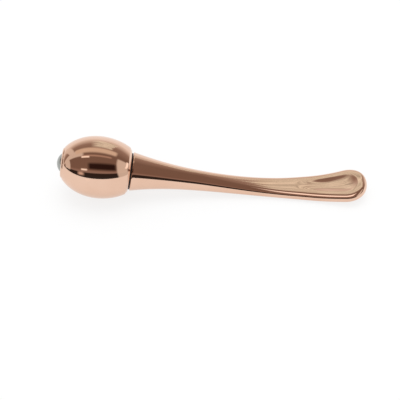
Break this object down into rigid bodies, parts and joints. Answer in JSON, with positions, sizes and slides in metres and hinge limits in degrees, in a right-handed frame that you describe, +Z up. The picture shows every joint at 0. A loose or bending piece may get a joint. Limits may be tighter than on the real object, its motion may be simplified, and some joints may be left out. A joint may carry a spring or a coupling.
{
  "type": "cosmetic spatula with roller ball",
  "caption": "Rose-gold cosmetic spatula: dished blade on a slender handle, with a screwed-on barrel head that carries a steel massage ball.",
  "frame": {"origin": "on the table, under the middle of the whole length", "axes": "+X along the tool towards the blade, +Y across the blade, +Z up from the table; the head lies at -X with its nose raised by 9.42 degrees"},
  "size_m": [0.112, 0.0226, 0.0228],
  "materials": {
    "rose_gold_plate": "mirror-bright rose-gold electroplate on die-cast zinc",
    "ball_steel": "polished stainless steel",
    "stud_steel": "oiled dark steel, threaded",
    "bush_brass": "turned brass",
    "washer_black": "black nylon, matt",
    "socket_white": "white acetal, slightly greased"
  },
  "bodies": {
    "handle": {"spatula_handle": "rose_gold_plate", "joint_stud": "stud_steel"},
    "washer": {"seam_washer": "washer_black"},
    "head": {"head_shell": "rose_gold_plate", "threaded_bush": "bush_brass", "ball_socket": "socket_white", "nose_ring": "rose_gold_plate"},
    "ball": {"roller_ball": "ball_steel"}
  },
  "joints": [
    {"name": "head_travel", "type": "slide", "parent": "handle", "child": "washer", "axis": [-0.9865, 0, 0.1637], "range_m": [0, 0.0056]},
    {"name": "head_unscrew", "type": "hinge", "parent": "washer", "child": "head", "pos_m": [-0.02973, 0, 0.00952], "axis": [-0.9865, 0, 0.1637], "range_deg": [0, 2520]},
    {"name": "ball_roll", "type": "hinge", "parent": "head", "child": "ball", "pos_m": [-0.05149, 0, 0.01313], "axis": [0, 1, 0], "continuous": true}
  ],
  "couplings": [
    {"joint": "head_unscrew", "follows": "head_travel", "rad_per_m": 7853.9}
  ]
}
